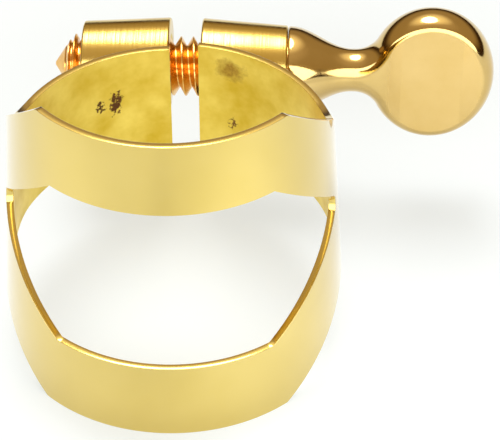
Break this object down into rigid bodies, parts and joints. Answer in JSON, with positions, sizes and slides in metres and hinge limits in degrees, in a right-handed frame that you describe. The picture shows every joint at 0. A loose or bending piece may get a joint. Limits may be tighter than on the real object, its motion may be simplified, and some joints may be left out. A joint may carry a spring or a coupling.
{
  "type": "saxophone ligature",
  "caption": "Sheet-metal ligature that clamps the reed to a saxophone mouthpiece: a windowed spring band closed by a thumb screw through two posts.",
  "frame": {"origin": "on the mouthpiece axis, level with the screw", "axes": "+Z along the mouthpiece towards its narrow tip end, -Y the reed side with the window, +Y the posts, +X along the screw towards its thumb head"},
  "size_m": [0.031, 0.0273, 0.0211],
  "materials": {
    "band_gold": "bright polished pale gold lacquer outside, satin inside",
    "post_gold": "turned and lightly brushed, gold lacquer",
    "solder_gold": "satin, lacquered over",
    "screw_gold": "polished warm gold with a satin head face"
  },
  "bodies": {
    "band": {"band": "band_gold"},
    "threaded_post": {"threaded_post": "post_gold", "threaded_post_solder": "solder_gold"},
    "plain_post": {"plain_post": "post_gold", "plain_post_solder": "solder_gold"},
    "thumb_screw": {"thumb_screw": "screw_gold"}
  },
  "joints": [
    {"name": "threaded_post_close", "type": "slide", "parent": "band", "child": "threaded_post", "axis": [1, 0, 0], "range_m": [0, 0.0008], "deforming": ["band"]},
    {"name": "plain_post_close", "type": "slide", "parent": "band", "child": "plain_post", "axis": [-1, 0, 0], "range_m": [0, 0.0008], "deforming": ["band"]},
    {"name": "screw_turn", "type": "hinge", "parent": "plain_post", "child": "thumb_screw", "pos_m": [0, 0.01319, 0], "axis": [-1, 0, 0], "range_deg": [0, 720]}
  ],
  "couplings": [
    {"joint": "threaded_post_close", "follows": "plain_post_close", "ratio": 1},
    {"joint": "screw_turn", "follows": "plain_post_close", "rad_per_m": 15708}
  ]
}
